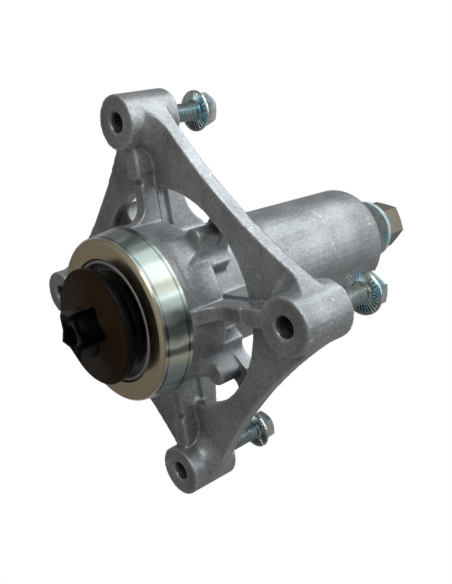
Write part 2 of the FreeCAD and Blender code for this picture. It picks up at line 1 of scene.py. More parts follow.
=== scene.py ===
# %% [markdown]
# # A mower deck spindle
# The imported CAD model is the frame: it fixes every size and place, in metres, with +Z along the
# shaft from the blade end to the pulley end. This lesson gives it the looks of the real thing: a
# sand grey casting, zinc plated fasteners with real threads, a pressed zinc cup and a black forged
# shaft.

# %% Load the frame
import bmesh
import bpy
import math
from mathutils import Matrix, Vector


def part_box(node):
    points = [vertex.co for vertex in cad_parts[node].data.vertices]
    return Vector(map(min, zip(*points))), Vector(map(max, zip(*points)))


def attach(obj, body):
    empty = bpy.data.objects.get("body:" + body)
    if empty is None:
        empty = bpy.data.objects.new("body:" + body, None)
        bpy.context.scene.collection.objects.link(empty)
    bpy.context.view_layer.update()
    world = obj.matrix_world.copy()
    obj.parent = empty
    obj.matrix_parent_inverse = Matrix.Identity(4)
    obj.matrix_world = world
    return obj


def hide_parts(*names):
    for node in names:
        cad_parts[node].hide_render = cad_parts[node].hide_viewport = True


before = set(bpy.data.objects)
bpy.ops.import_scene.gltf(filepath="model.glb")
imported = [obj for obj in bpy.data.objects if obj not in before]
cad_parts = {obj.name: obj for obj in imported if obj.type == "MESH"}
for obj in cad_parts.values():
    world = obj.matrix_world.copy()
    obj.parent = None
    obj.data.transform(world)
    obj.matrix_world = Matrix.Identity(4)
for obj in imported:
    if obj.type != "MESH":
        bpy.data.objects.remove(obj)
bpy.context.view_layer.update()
MM = 0.001

# %% [markdown]
# ## The camera
# The photograph looks at the blade end from below, with the shaft rolled well over. The place and
# turn of the camera were worked out from the bosses' four centres, which form a square of known
# size. The middle of the photograph isn't where the lens points, so the lens is shifted sideways.

# %% Camera
PHOTO_WIDTH = 452
FOCAL_PIXELS = 698.03
MIDDLE_PIXEL = 192.62
SENSOR = 36.0
CAMERA_PLACE = Vector((-0.21635, -0.11718, -0.18409))
CAMERA_RIGHT = Vector((-0.33514, -0.56534, 0.75371))
CAMERA_UP = Vector((-0.62608, 0.73143, 0.27024))
CAMERA_AHEAD = Vector((0.70406, 0.38132, 0.59907))

scene = bpy.context.scene


def add_object(name, data):
    """A new object in the scene with this mesh, lens or light."""
    made = bpy.data.objects.new(name, data)
    scene.collection.objects.link(made)
    return made


lens = bpy.data.cameras.new("camera")
camera = add_object("camera", lens)
turn = Matrix((CAMERA_RIGHT, CAMERA_UP, -CAMERA_AHEAD)).transposed()
camera.matrix_world = Matrix.Translation(CAMERA_PLACE) @ turn.to_4x4()
lens.sensor_fit = "HORIZONTAL"
lens.sensor_width = SENSOR
lens.lens = FOCAL_PIXELS * SENSOR / PHOTO_WIDTH
lens.shift_x = (PHOTO_WIDTH / 2 - MIDDLE_PIXEL) / PHOTO_WIDTH
lens.clip_start = 0.01
scene.camera = camera
scene.view_settings.view_transform = "Standard"
print("lens of", round(lens.lens, 1), "mm")

# %% [markdown]
# ## Sums on sockets
# A node tree is easier to read as sums than as a net of links. One small class stands for a
# socket, and another makes any node from its type, its settings and what goes into it. Both serve
# shaders and geometry.


# %% A class for sockets and a class for trees
class Value:
    """A socket of a node tree that takes part in sums."""

    def __init__(self, tree, socket):
        self.tree = tree
        self.socket = socket

    def __add__(self, other):
        return self.tree.sum("ADD", self, other)

    def __radd__(self, other):
        return self.tree.sum("ADD", other, self)

    def __sub__(self, other):
        return self.tree.sum("SUBTRACT", self, other)

    def __rsub__(self, other):
        return self.tree.sum("SUBTRACT", other, self)

    def __mul__(self, other):
        return self.tree.sum("MULTIPLY", self, other)

    def __rmul__(self, other):
        return self.tree.sum("MULTIPLY", other, self)

    def __truediv__(self, other):
        return self.tree.sum("DIVIDE", self, other)


class Tree:
    """Makes the nodes of one tree and links them."""

    BORROWED = ("Math", "CombineXYZ")  # shader nodes that a geometry tree takes too

    def __init__(self, tree, family):
        self.tree = tree
        self.family = family

    def node(self, kind, settings=None, sockets=None):
        """One node; the result maps the names of its outputs to values."""
        family = "ShaderNode" if kind in self.BORROWED else self.family
        made = self.tree.nodes.new(family + kind)
        for name, setting in (settings or {}).items():
            setattr(made, name, setting)
        for name, value in (sockets or {}).items():
            self.feed(made.inputs[name], value)
        enabled = [output for output in made.outputs if output.enabled]
        return {output.name: Value(self, output) for output in reversed(enabled)}

    def sum(self, operation, first, second):
        sockets = {0: first, 1: second}
        return self.node("Math", {"operation": operation}, sockets)["Value"]

    def feed(self, socket, value):
        """Link a value to a socket, or all values of a list, or else set its own number."""
        if isinstance(value, Value):
            value = [value]
        if isinstance(value, list):
            for given in value:
                self.tree.links.new(given.socket, socket)
        else:
            socket.default_value = value


# %% [markdown]
# ## The finishes
# Every finish is a Principled shader whose colour, roughness and bump come from noise at the scale
# of the real thing: grains of sand on the casting, spangle on the zinc, forging scale on the black
# shaft. Noise on Object coordinates sticks to the piece, so no picture has to be wrapped round it.


# %% A class for finishes
class Finish(Tree):
    """A Principled shader, fed by sums of noises on Object coordinates."""

    AIR_SAMPLES = 8
    ROUNDING_SAMPLES = 4

    def __init__(self, name, **constants):
        self.material = bpy.data.materials.new(name)
        self.material.use_nodes = True
        super().__init__(self.material.node_tree, "ShaderNode")
        self.shader = self.tree.nodes["Principled BSDF"]
        self.place = self.node("TexCoord")["Object"]
        for socket, value in constants.items():
            self.shader.inputs[socket.replace("_", " ")].default_value = value

    def axes(self):
        """The place on the piece as X, Y and Z in metres."""
        return self.node("SeparateXYZ", None, {"Vector": self.place})

    def noise(self, size, detail=3.0, roughness=0.5, place=None):
        """Noise whose lumps measure about size millimetres."""
        sockets = {"Vector": place or self.place, "Scale": 1 / (size * MM),
                   "Detail": detail, "Roughness": roughness}
        return self.node("TexNoise", None, sockets)["Fac"]

    def step(self, value, low, high):
        """0 below low and 1 above high, with a smooth rise between."""
        settings = {"interpolation_type": "SMOOTHSTEP"}
        sockets = {"Value": value, "From Min": low, "From Max": high}
        return self.node("MapRange", settings, sockets)["Result"]

    def blend(self, share, first, second):
        """A mix of two colours, given as three numbers or as values."""
        under, over = (colour if isinstance(colour, Value) else (*colour, 1.0)
                       for colour in (first, second))
        sockets = {"Factor": share, 6: under, 7: over}
        return self.node("Mix", {"data_type": "RGBA"}, sockets)["Result"]

    def open_air(self, reach, inside=False):
        """1 in the open and 0 deep in a corner, or, looking inside, 0 at a thin edge."""
        settings = {"samples": self.AIR_SAMPLES, "inside": inside}
        return self.node("AmbientOcclusion", settings, {"Distance": reach * MM})["AO"]

    def rounded(self, reach):
        """The direction that the surface would face with its edges rounded."""
        settings = {"samples": self.ROUNDING_SAMPLES}
        return self.node("Bevel", settings, {"Radius": reach * MM})["Normal"]

    def edges(self, reach):
        """1 along sharp outer edges and 0 elsewhere."""
        flat = self.node("NewGeometry")["Normal"]
        sockets = {0: self.rounded(reach), 1: flat}
        alike = self.node("VectorMath", {"operation": "DOT_PRODUCT"}, sockets)["Value"]
        return self.step(1 - alike, 0.02, 0.2)

    def colour(self, value):
        self.feed(self.shader.inputs["Base Color"], value)

    def roughness(self, value):
        self.feed(self.shader.inputs["Roughness"], value)

    def bumps(self, height, depth, rounding=0.0):
        """Bump of depth millimetres over an optional rounding of the edges in millimetres."""
        sockets = {"Height": height, "Distance": depth * MM, "Strength": 1.0}
        if rounding:
            sockets["Normal"] = self.rounded(rounding)
        self.feed(self.shader.inputs["Normal"], self.node("Bump", None, sockets)["Normal"])


# %% [markdown]
# ### Cast aluminium
# The casting is a satin grey with darker clouds and fine grain, and here and there a group of dark
# pits or of bright knocks from the tumbler. Ambient occlusion finds the crevices, which get
# painted shade, and, looking inwards, the thin edges, which are painted lighter as rubbed wear and
# painted highlight. Cast metal is part mirror and part matt, so it is not fully metallic.

# %% The casting's colours and the sizes of its marks, in millimetres
CAST_DARK = (0.275, 0.288, 0.30)
CAST_LIGHT = (0.58, 0.60, 0.618)
# The light grey of bright knocks and rubbed wear, also painted along thin edges as painted
# highlight
CAST_WORN_AND_HIGHLIT = (0.76, 0.775, 0.78)
# The dark of the pits, also painted into the crevices as painted shade
CAST_PITS_AND_SHADE = (0.12, 0.115, 0.11)
CLOUD_SIZE = 19.0
GRAIN_SIZE = 1.3
SAND_SIZE = 0.5
PIT_SIZE, PIT_GROUP, PIT_FEW = 1.9, 15.0, 0.68
KNOCK_SIZE, KNOCK_GROUP, KNOCK_FEW = 2.4, 17.0, 0.35
CREVICE_SHADE_REACH = 13
WORN_HIGHLIGHT_REACH = 1.8
CAST_BUMP = 0.14

# %% Cast aluminium
cast = Finish("cast_aluminium", Metallic=0.65, Specular_IOR_Level=0.35)
clouds = cast.noise(CLOUD_SIZE, 3.0, 0.5)
grain = cast.noise(GRAIN_SIZE, 3.0, 0.65)
sand = cast.noise(SAND_SIZE, 2.0, 0.6)
tone = cast.step(0.4 * clouds + 0.35 * grain + 0.25 * sand, 0.36, 0.66)
# Painted shade in the crevices, found by ambient occlusion
painted_crevice_shade = 1 - cast.step(cast.open_air(CREVICE_SHADE_REACH), 0.25, 0.9)
# Thin edges painted lighter: rubbed wear and painted highlight
worn_and_highlit_edges = 1 - cast.step(cast.open_air(WORN_HIGHLIGHT_REACH, inside=True), 0.62, 0.97)


def marks(finish, size, group, few):
    """Ragged marks of about size millimetres in groups; few goes up to 1 as they get rarer."""
    spread = finish.step(finish.noise(group, 2.0), 0.5, 0.62)
    level = 0.56 + 0.16 * few
    return spread * finish.step(finish.noise(size, 3.0, 0.6), level, level + 0.05)


pits = marks(cast, PIT_SIZE, PIT_GROUP, PIT_FEW)
knocks = marks(cast, KNOCK_SIZE, KNOCK_GROUP, KNOCK_FEW)
toned = cast.blend(0.95 * knocks, cast.blend(tone, CAST_DARK, CAST_LIGHT), CAST_WORN_AND_HIGHLIT)
# Dark pits, and painted shade in the crevices
pitted_and_shaded = cast.blend(0.75 * painted_crevice_shade, cast.blend(0.8 * pits, toned, CAST_PITS_AND_SHADE), CAST_PITS_AND_SHADE)
# Rubbed wear and painted highlight along the thin edges
cast.colour(cast.blend(0.55 * worn_and_highlit_edges, pitted_and_shaded, CAST_WORN_AND_HIGHLIT))
cast.roughness(0.29 + 0.2 * grain)
cast.bumps(0.4 * grain + 0.3 * sand - 0.6 * pits - 0.5 * knocks, CAST_BUMP)
print("finish:", cast.material.name)

# %% [markdown]
# ### The cup's painted reflections
# Dark bands of painted reflection run along the cup's side, and a thin line of painted shade lies
# behind either rim. A band is a range of headings round the piece. A point's heading comes from an
# arc tangent, and a little noise makes it wobble.

# %% The cup's painted reflections
# The dark of the painted reflections and painted shade lines on the cup's side
PAINTED_REFLECTION_DARK = (0.07, 0.085, 0.085)
CUP_PAINTED_REFLECTIONS = (  # heading and half width in degrees, and depth
    (148, 9, 0.6), (0, 5, 0.3), (22, 4, 0.3), (50, 6, 0.85), (63, 3, 0.8), (86, 11, 0.6),
)
REFLECTION_WOBBLE = 5.0
WOBBLE_SIZE = 7.0
CUP_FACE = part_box("dust_cup")[0].z + 0.4 * MM
CUP_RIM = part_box("dust_cup")[1].z
# Heights of the thin lines of painted shade behind either rim
CUP_SHADE_LINES = (CUP_FACE + 2.0 * MM, CUP_RIM - 1.7 * MM)
SHADE_LINE_DEPTH = 0.45
LINE_CORE, LINE_HALF_WIDTH = 0.1 * MM, 0.7 * MM


def cup_streaks(finish, parts):
    """How dark the painted reflections and painted shade lines make the cup's side; every band
    comes back on the other side of the piece.
    """
    heading = finish.sum("ARCTAN2", parts["Y"], parts["X"]) * math.degrees(1.0)
    heading = heading + REFLECTION_WOBBLE * finish.noise(WOBBLE_SIZE, 1.0)
    dark = 0.0
    # Dark bands of painted reflection at the listed headings
    for middle, half, depth in CUP_PAINTED_REFLECTIONS:
        turned = finish.sum("FLOORED_MODULO", heading + (90.0 - middle), 180.0)
        off = finish.sum("ABSOLUTE", turned - 90.0, 0.0)
        dark = dark + depth * (1 - finish.step(off, 0.4 * half, 1.5 * half))
    # A thin line of painted shade behind either rim
    for line in CUP_SHADE_LINES:
        off = finish.sum("ABSOLUTE", parts["Z"] - line, 0.0)
        dark = dark + SHADE_LINE_DEPTH * (1 - finish.step(off, LINE_CORE, LINE_HALF_WIDTH))
    return dark


print(len(CUP_PAINTED_REFLECTIONS), "streaks and", len(CUP_SHADE_LINES), "lines")

# %% [markdown]
# ### Zinc plate
# Bright zinc is a mirror with a faint blue, green or straw tint that drifts over the piece, and a
# soft haze where the plating is thick. One function serves all plated pieces, and grooves and teeth
# get painted shade. The cup's tint is stretched along it into bands, partly as a painted
# reflection, its face is painted straw yellow as a painted reflection of warm surroundings, and the
# nut's plating is brown.

# %% Zinc plate
ZINC_BLUE = (0.52, 0.80, 0.92)
ZINC_GREEN = (0.63, 0.75, 0.70)
ZINC_PLAIN = (0.77, 0.82, 0.77)
ZINC_STRAW = (0.90, 0.80, 0.54)
ZINC_BROWN = (0.21, 0.165, 0.115)
ZINC_DULL = (0.30, 0.34, 0.34)
# The painted shade in grooves and between teeth
GROOVE_SHADE = (0.03, 0.045, 0.06)
GROOVE_SHADE_REACH = 1.4
FACE_FADE = 1.5 * MM
SPANGLE_SIZE = 3.0
DENT_SIZE = 2.2
DENT_DEPTH = 0.01
NOWHERE, EVERYWHERE = -1.0, 1.0  # heights below and above all pieces


def zinc(name, drift, straw, haze, metal, rounding=0.12, banded=1.0, cool=ZINC_BLUE,
         yellow=ZINC_STRAW, yellow_below=NOWHERE, painted_reflections=False):
    """Plated steel: drift is the size of its clouds of tint, straw how yellow they get.

    The clouds are stretched along the shaft into bands where banded is small. All below the
    height yellow_below is yellow. Grooves and teeth get painted shade in their depth."""
    finish = Finish(name, Metallic=metal)
    parts = finish.axes()
    stretched = {"X": parts["X"], "Y": parts["Y"], "Z": parts["Z"] * banded}
    bands = finish.node("CombineXYZ", None, stretched)["Vector"]

    def cloud(scale, low, high):
        return finish.step(finish.noise(drift * scale, 1.0, place=bands), low, high)

    # Below yellow_below all is yellow: on the cup's face a painted reflection of warm surroundings,
    # on the nut its own brown plating
    face = 1 - finish.step(parts["Z"], yellow_below, yellow_below + FACE_FADE)
    blue = cloud(1.0, 0.36, 0.64)
    dull = cloud(0.7, 0.45, 0.68)
    warm = cloud(1.4, 0.46, 0.64) * straw
    tint = finish.blend(blue * (1 - face), ZINC_PLAIN, cool)
    tinted = finish.blend(warm + (0.85 - warm) * face, tint, yellow)
    clouded = finish.blend(0.38 * dull * (1 - face), tinted, ZINC_DULL)
    # Painted shade in the depth of grooves and teeth, found by ambient occlusion
    painted_groove_shade = 1 - finish.step(finish.open_air(GROOVE_SHADE_REACH), 0.35, 0.85)
    # The cup's painted reflections and painted shade lines
    if painted_reflections:
        dark = cup_streaks(finish, parts) * (1 - face)
        clouded = finish.blend(dark, clouded, PAINTED_REFLECTION_DARK)
    finish.colour(finish.blend(0.85 * painted_groove_shade, clouded, GROOVE_SHADE))
    finish.roughness(haze + 0.14 * finish.noise(SPANGLE_SIZE, 2.0))
    finish.bumps(finish.noise(DENT_SIZE, 2.0), DENT_DEPTH, rounding)
    return finish.material


# The cup's tint bands are partly a painted reflection, and its yellow face is a painted reflection
cup_zinc = zinc("cup_zinc", 12.0, 0.6, 0.15, 1.0, rounding=0.7, banded=0.25, cool=ZINC_GREEN,
                yellow_below=CUP_FACE, painted_reflections=True)
bolt_zinc = zinc("bolt_zinc", 5.0, 0.2, 0.13, 0.95, rounding=0.06)
washer_zinc = zinc("washer_zinc", 6.0, 0.1, 0.2, 0.1)
nut_zinc = zinc("nut_zinc", 9.0, 0.5, 0.24, 0.8, yellow=ZINC_BROWN, yellow_below=EVERYWHERE)
print("finishes:", cup_zinc.name, bolt_zinc.name, washer_zinc.name, nut_zinc.name)

# %% [markdown]
# ### Black oxide
# The forged shaft is blackened: almost no colour, a soft oily shine, and edges painted lighter as
# rubbed wear and painted highlight. The face of its flange carries a painted brown reflection, and
# the star in front of it is the blackest part. One piece has both, so the height along the shaft
# tells the finish where the star ends.

# %% Black oxide
BLACK = (0.0045, 0.0042, 0.004)
# Lighter black along the edges: rubbed wear and painted highlight
BLACK_WORN_AND_HIGHLIT = (0.035, 0.034, 0.035)
# A painted brown reflection on the flange's face
PAINTED_BROWN_REFLECTION = (0.030, 0.016, 0.005)
FLANGE_FRONT = -52.8
SCALE_SIZE = 3.0
SPECK_SIZE = 0.7
EDGE_WEAR_AND_HIGHLIGHT_REACH = 0.5
FORGED_ROUNDING = 0.35
FORGED_BUMP = 0.05

black = Finish("black_oxide", Specular_IOR_Level=0.14)
scale_marks = black.noise(SCALE_SIZE, 4.0, 0.6)
specks = black.noise(SPECK_SIZE, 2.0)
height = black.axes()["Z"] / MM
behind_star = black.step(height, FLANGE_FRONT - 0.5, FLANGE_FRONT - 0.3)
# Where the flange's face gets its painted brown reflection
flange_reflection = behind_star - black.step(height, FLANGE_FRONT + 0.1, FLANGE_FRONT + 0.3)
with_flange_reflection = black.blend(flange_reflection, BLACK, PAINTED_BROWN_REFLECTION)
# Edges painted lighter: rubbed wear and painted highlight
black.colour(black.blend(black.edges(EDGE_WEAR_AND_HIGHLIGHT_REACH) * 0.6, with_flange_reflection, BLACK_WORN_AND_HIGHLIT))
black.feed(black.shader.inputs["Metallic"], 1 - behind_star)
black.roughness(0.26 + 0.2 * scale_marks)
black.bumps(scale_marks + 0.5 * specks, FORGED_BUMP, FORGED_ROUNDING)
print("finish:", black.material.name)

# %% [markdown]
# ### Plain steel, bearing steel and rubber
# The races and the spacer are turned and ground, which leaves fine rings round the axis. Noise
# that is read along the squared distance from the axis makes such rings. The bearings' seals are
# matt rubber.

# %% Steel and rubber
RING_STRETCH = 40.0
RING_SIZE = 0.35
RING_DEPTH = 0.01
RUBBER_DARK = (0.014, 0.014, 0.015)
RUBBER_LIGHT = (0.024, 0.024, 0.025)
RUBBER_GRAIN = 0.6
RUBBER_BUMP = 0.04


def steel(name, shade, rough):
    """Turned steel with fine rings round the shaft's axis."""
    finish = Finish(name, Metallic=1.0)
    parts = finish.axes()
    reach = parts["X"] * parts["X"] + parts["Y"] * parts["Y"]
    spread = {"X": reach * RING_STRETCH, "Y": parts["Z"]}
    rings = finish.node("CombineXYZ", None, spread)["Vector"]
    lines = finish.noise(RING_SIZE, 2.0, place=rings)
    finish.colour(finish.blend(lines, [0.8 * part for part in shade], shade))
    finish.roughness(rough + 0.12 * lines)
    finish.bumps(lines, RING_DEPTH)
    return finish.material


plain_steel = steel("plain_steel", (0.5, 0.5, 0.49), 0.32)
bearing_steel = steel("bearing_steel", (0.62, 0.62, 0.62), 0.16)
# A dark steel, as painted shade, for the race seen inside the cup
oiled_steel = steel("oiled_steel", (0.20, 0.185, 0.175), 0.2)
rubber = Finish("seal_rubber", Specular_IOR_Level=0.3)
rubber_grain = rubber.noise(RUBBER_GRAIN, 2.0)
rubber.colour(rubber.blend(rubber_grain, RUBBER_DARK, RUBBER_LIGHT))
rubber.roughness(0.55 + 0.2 * rubber_grain)
rubber.bumps(rubber_grain, RUBBER_BUMP)
print("finishes:", plain_steel.name, bearing_steel.name, oiled_steel.name, rubber.material.name)

# %% [markdown]
# ### The pieces that stay as the frame has them
# The cup, the washers, the nut, the spacer and the bearings are plain turned or pressed shapes, so
# the frame's own meshes are good enough and only get a finish. The outer race behind the cup,
# seen through its opening, is painted dark as painted shade.

# %% Finishes of those pieces
FINISH_OF = {
    "dust_cup": cup_zinc,
    "flat_washer": washer_zinc,
    "lock_washer": washer_zinc,
    "shaft_nut": nut_zinc,
    "bearing_spacer": plain_steel,
}
for prefix in ("lower_bearing_", "upper_bearing_"):
    for name in ("outer_race", "inner_race", "balls", "cage"):
        FINISH_OF[prefix + name] = bearing_steel
    for name in ("front_seal", "back_seal"):
        FINISH_OF[prefix + name] = rubber.material
# The outer race seen through the cup's opening is painted dark as painted shade
FINISH_OF["lower_bearing_outer_race"] = oiled_steel
for name, material in FINISH_OF.items():
    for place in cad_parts[name].material_slots:
        place.material = material
print(len(FINISH_OF), "frame pieces have their finish")

# %% [markdown]
# ## The casting
# A casting has no sharp corner: its inner corners are filled and its outer ones are worn round by
# the mould and the tumbler. The CAD solid gives the shape. A copy of it is rebuilt from small
# cubes and smoothed, which rounds both kinds of corner by about a millimetre, then thinned so that
# the mesh stays light. A bevel would stumble over the long thin triangles of a CAD mesh.


# %% Helpers for a mesh that is finished by modifiers
JOIN_DISTANCE = 1e-6


def copy_of(node, name):
    """A new object with the node's mesh, its loose triangles joined."""
    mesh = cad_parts[node].data.copy()
    mesh.materials.clear()
    piece = add_object(name, mesh)
    weld = piece.modifiers.new("weld", "WELD")
    weld.merge_threshold = JOIN_DISTANCE
    return piece


def apply_all(piece):
    """The mesh that the piece's modifiers make becomes its own."""
    bpy.context.view_layer.update()
    graph = bpy.context.evaluated_depsgraph_get()
    mesh = bpy.data.meshes.new_from_object(piece.evaluated_get(graph))
    piece.modifiers.clear()
    piece.data = mesh
    return piece


def count_triangles(piece):
    return sum(len(face.vertices) - 2 for face in piece.data.polygons)


def finish_piece(piece, material, slot, body, *nodes):
    """Dress a piece, let it ride on its body and let it stand for the nodes it replaces."""
    piece.data.materials.clear()
    piece.data.materials.append(material)
    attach(piece, body)
    if nodes:
        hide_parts(*nodes)
    print(piece.name, "has", count_triangles(piece), "triangles")


# %% The casting's mesh
CAST_VOXEL = 0.5
CAST_SMOOTHING = 4
CAST_TRIANGLES = 190000

casting = copy_of("spindle_housing", "cast_housing")
cubes = casting.modifiers.new("cubes", "REMESH")
cubes.mode = "VOXEL"
cubes.voxel_size = CAST_VOXEL * MM
smooth = casting.modifiers.new("smooth", "SMOOTH")
smooth.factor = 0.5
smooth.iterations = CAST_SMOOTHING
apply_all(casting)
thin = casting.modifiers.new("thin", "DECIMATE")
thin.ratio = min(1.0, CAST_TRIANGLES / count_triangles(casting))
apply_all(casting)
casting.data.shade_smooth()
finish_piece(casting, cast.material, "cast_aluminium", "housing", "spindle_housing")

# %% [markdown]
# ## Threads and serrations
# A thread is one ridge wound along a helix, and the teeth under a bolt's flange are one wedge
# repeated round a circle, so Geometry Nodes make both from a few sizes. One tree serves the bolts,
# the shaft and the tapped holes: it adds the ridge and the teeth to whatever mesh comes in.

# %% A wound ridge and a ring of teeth
TREE_SIZES = ("Thread radius", "Pitch", "Turns", "Ridge", "Thread start",
              "Teeth radius", "Tooth length", "Tooth width", "Tooth height")
TREE_COUNTS = ("Turns", "Teeth")
TURN_STEPS = 28
RIDGE_HALF_WIDTH = 0.47
TOOTH_TILT = math.radians(26)


def wound_ridge(tree, given):
    """A diamond section swept along a helix; the ridge is nearly as wide as the pitch."""
    helix = tree.node("CurveSpiral", None, {
        "Resolution": TURN_STEPS, "Rotations": given["Turns"],
        "Start Radius": given["Thread radius"], "End Radius": given["Thread radius"],
        "Height": given["Pitch"] * given["Turns"]})["Curve"]
    upright = tree.node("SetCurveNormal", {"mode": "Z_UP"}, {"Curve": helix})["Curve"]
    corners = {"Resolution": 4, "Radius": 1.0}
    diamond = tree.node("CurvePrimitiveCircle", {"mode": "RADIUS"}, corners)["Curve"]
    shape = tree.node("CombineXYZ", None, {
        "X": given["Ridge"], "Y": given["Pitch"] * RIDGE_HALF_WIDTH, "Z": 1.0})["Vector"]
    section = tree.node("Transform", None, {"Geometry": diamond, "Scale": shape})["Geometry"]
    swept = {"Curve": upright, "Profile Curve": section, "Fill Caps": True}
    ridge = tree.node("CurveToMesh", None, swept)["Mesh"]
    lift = tree.node("CombineXYZ", None, {"Z": given["Thread start"]})["Vector"]
    return tree.node("Transform", None, {"Geometry": ridge, "Translation": lift})["Geometry"]


def ring_of_teeth(tree, given):
    """Tilted plates on the points of a circle, each turned to its own heading."""
    round_points = {"Vertices": given["Teeth"], "Radius": given["Teeth radius"]}
    circle = tree.node("MeshCircle", None, round_points)["Mesh"]
    size = tree.node("CombineXYZ", None, {
        "X": given["Tooth length"], "Y": given["Tooth width"],
        "Z": given["Tooth height"]})["Vector"]
    plate = tree.node("MeshCube", None, {"Size": size})["Mesh"]
    tilted = {"Geometry": plate, "Rotation": (TOOTH_TILT, 0.0, 0.0)}
    wedge = tree.node("Transform", None, tilted)["Geometry"]
    order = tree.node("InputIndex")["Index"]
    turned = {"Z": order / given["Teeth"] * math.tau}
    heading = tree.node("CombineXYZ", None, turned)["Vector"]
    placed = {"Points": circle, "Instance": wedge, "Rotation": heading}
    return tree.node("InstanceOnPoints", None, placed)["Instances"]


# %% The tree for threads and serrations
def thread_tree():
    """Adds a wound ridge and a ring of radial teeth to the mesh that comes in."""
    group = bpy.data.node_groups.new("thread_and_teeth", "GeometryNodeTree")
    kinds = [("Geometry", "Geometry"), *((name, "Float") for name in TREE_SIZES),
             ("Teeth", "Int"), ("Material", "Material")]
    for name, kind in kinds:
        group.interface.new_socket(name, in_out="INPUT", socket_type="NodeSocket" + kind)
    group.interface.new_socket("Geometry", in_out="OUTPUT", socket_type="NodeSocketGeometry")
    tree = Tree(group, "GeometryNode")
    entry = group.nodes.new("NodeGroupInput")
    given = {socket.name: Value(tree, socket) for socket in entry.outputs}

    thread = wound_ridge(tree, given)
    teeth = ring_of_teeth(tree, given)
    pieces = {"Geometry": [teeth, thread, given["Geometry"]]}
    joined = tree.node("JoinGeometry", None, pieces)["Geometry"]
    real = tree.node("RealizeInstances", None, {"Geometry": joined})["Geometry"]
    clad = {"Geometry": real, "Material": given["Material"]}
    dressed = tree.node("SetMaterial", None, clad)["Geometry"]
    tree.feed(group.nodes.new("NodeGroupOutput").inputs[0], dressed)
    return group


THREADS = thread_tree()
print("tree:", THREADS.name, "with", len(THREADS.nodes), "nodes")


def add_threads(piece, material, **sizes):
    """Run the tree on a piece; the sizes are in millimetres, turns and teeth are counts."""
    maker = piece.modifiers.new("threads", "NODES")
    maker.node_group = THREADS
    for item in THREADS.interface.items_tree:
        size = sizes.get(item.name.lower().replace(" ", "_"))
        if item.name == "Material":
            maker[item.identifier] = material
        elif size is not None:
            maker[item.identifier] = size if item.name in TREE_COUNTS else size * MM
    return apply_all(piece)


def thread_alone(name, material, **sizes):
    """A thread with no core, for the inside of a hole."""
    return add_threads(add_object(name, bpy.data.meshes.new(name)), material, **sizes)


# %% [markdown]
# ## Turned blanks
# A bolt is turned and cold headed: a plain outline spun about an axis, with a hexagon on top. So
# its mesh is an outline of corners that is repeated round a circle. The head's side follows a
# hexagon, and a cone cuts its corners, which leaves the curved scallops of a real head.

# %% Functions for turned pieces
ROUND_STEPS = 72
SLIVER = 1e-7
TURNED_SHARP = math.radians(30)


def spun(name, outline, sides=None):
    """Spin (radius, height) corners, in millimetres; sides may move a point."""
    points = []
    faces = []
    for step in range(ROUND_STEPS):
        angle = math.tau * step / ROUND_STEPS
        for radius, height in outline:
            if sides:
                radius, height = sides(radius, height, angle)
            x, y = radius * math.cos(angle), radius * math.sin(angle)
            points.append((x * MM, y * MM, height * MM))
    rows = len(outline)
    for step in range(ROUND_STEPS):
        here = step * rows
        following = (step + 1) % ROUND_STEPS * rows
        for row in range(rows - 1):
            faces.append((here + row, following + row, following + row + 1, here + row + 1))
    mesh = bpy.data.meshes.new(name)
    mesh.from_pydata(points, [], faces)
    return add_object(name, mesh)


def close_up(piece):
    """Join the poles' points, face everything outwards and keep sharp corners sharp."""
    work = bmesh.new()
    work.from_mesh(piece.data)
    bmesh.ops.remove_doubles(work, verts=work.verts, dist=JOIN_DISTANCE)
    bmesh.ops.dissolve_degenerate(work, edges=work.edges, dist=SLIVER)
    bmesh.ops.recalc_face_normals(work, faces=work.faces)
    work.to_mesh(piece.data)
    work.free()
    piece.data.set_sharp_from_angle(angle=TURNED_SHARP)


# %% [markdown]
# ## The deck bolts
# Each is a 5/16 inch hex flange bolt with a rolled thread and teeth under its flange that bite into
# the deck. The blank is spun first, with a core that is thinner by the height of the ridge, and
# the tree then winds the thread on it. Each head is turned to its own heading, as bolts come to
# rest.

# %% The bolt's sizes, in millimetres and degrees
BOLT_PITCH = 1.411
BOLT_RADIUS = 3.88
BOLT_RIDGE = 0.8
BOLT_CORE = BOLT_RADIUS - BOLT_RIDGE
BOLT_LENGTH = 31.7
BOLT_POINT = 0.9
THREAD_START = 1.1
BARE_LENGTH = 2.0
NECK_RADIUS = BOLT_RADIUS - 0.2
NECK_FOOT, NECK_LOW, NECK_TOP = -1.3, -0.9, -0.3
FLANGE_RADIUS = 8.68
FLANGE_RIM = 1.2
FLANGE_EDGE = 0.3
FLANGE_HOLLOW = (4.6, 0.15)
HEAD_HEIGHT = 7.55
HEAD_HALF_FLATS = 6.33
HEAD_CONE = 0.58
HEAD_CONE_START = 0.12
DISH_RIM, DISH_FLOOR, DISH_DEPTH = 4.6, 4.2, 0.35
HEAD_TURNS = (48, 58, 56, 39)
TEETH = {"teeth": 30, "teeth_radius": 6.6, "tooth_length": 3.4, "tooth_width": 1.15,
         "tooth_height": 0.3}
HEX = 100.0


# %% The bolt's blank
def on_hexagon(radius, height, angle):
    """What a radius has over HEX is its share of the hexagon's, and the cone cuts its height."""
    if radius < HEX:
        return radius, height
    sector = (angle + math.pi / 6) % (math.pi / 3) - math.pi / 6
    corner = HEAD_HALF_FLATS / math.cos(sector)
    drop = HEAD_CONE * max(0.0, corner - HEAD_HALF_FLATS + HEAD_CONE_START)
    return corner * (radius - HEX), height - (drop if height > HEAD_HEIGHT - 1 else 0)


